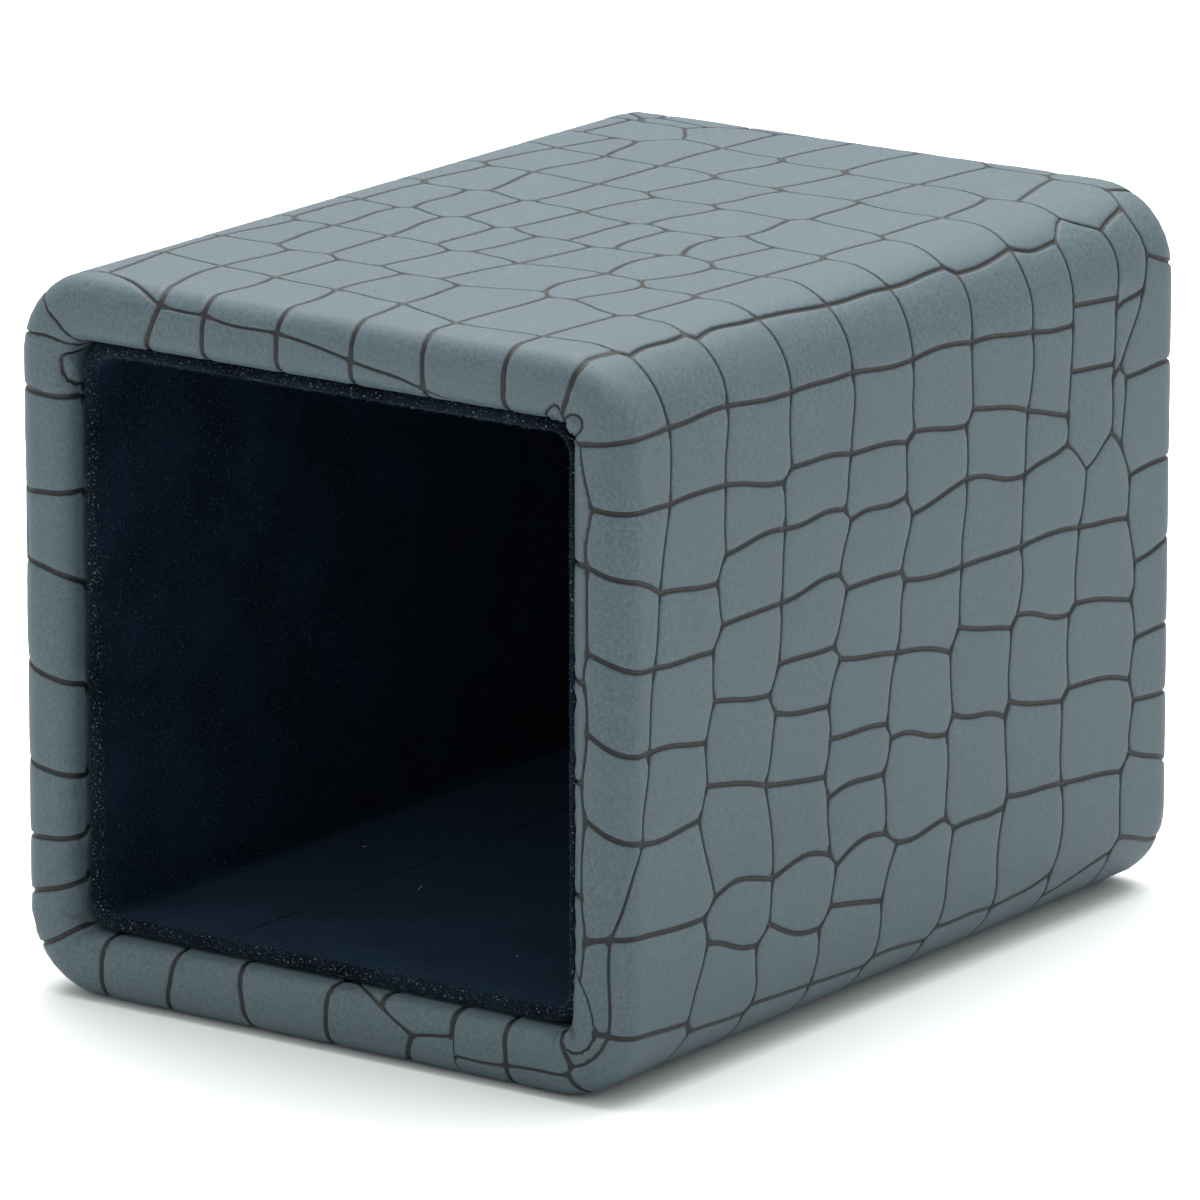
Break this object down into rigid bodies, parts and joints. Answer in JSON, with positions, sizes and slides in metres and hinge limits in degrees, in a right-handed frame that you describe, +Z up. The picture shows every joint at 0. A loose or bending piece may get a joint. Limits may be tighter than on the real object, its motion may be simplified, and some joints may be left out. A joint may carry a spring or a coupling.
{
  "type": "leather dice cup",
  "caption": "Square open cup of padded board, wrapped in crocodile-embossed leather and lined with black velvet, lying on one side.",
  "frame": {"origin": "the middle of the underside the cup lies on, halfway between the mouth and the closed end", "axes": "+Z up from the side the cup lies on, +Y from the mouth towards the closed end, +X to the right for someone who looks in at the mouth"},
  "size_m": [0.075, 0.1, 0.075],
  "materials": {
    "embossed_leather": "matte blue-grey, crocodile embossed",
    "base_leather": "matte blue-grey, crocodile embossed",
    "black_velvet": "short-pile velvet",
    "thin_foam": "open-cell foam sheet",
    "fibreboard": "bare sanded fibreboard",
    "greyboard": "uncoated greyboard"
  },
  "bodies": {
    "root": {"leather_sleeve": "embossed_leather", "leather_base_panel": "base_leather", "padding_sleeve": "thin_foam", "core_board_bottom": "fibreboard", "core_board_right": "fibreboard", "core_board_top": "fibreboard", "core_board_left": "fibreboard", "core_base_board": "fibreboard", "base_panel_card": "greyboard", "lining_card_bottom": "greyboard", "lining_card_right": "greyboard", "lining_card_top": "greyboard", "lining_card_left": "greyboard", "lining_velvet": "black_velvet", "floor_velvet": "black_velvet", "floor_foam_pad": "thin_foam", "floor_card": "greyboard"}
  },
  "joints": []
}
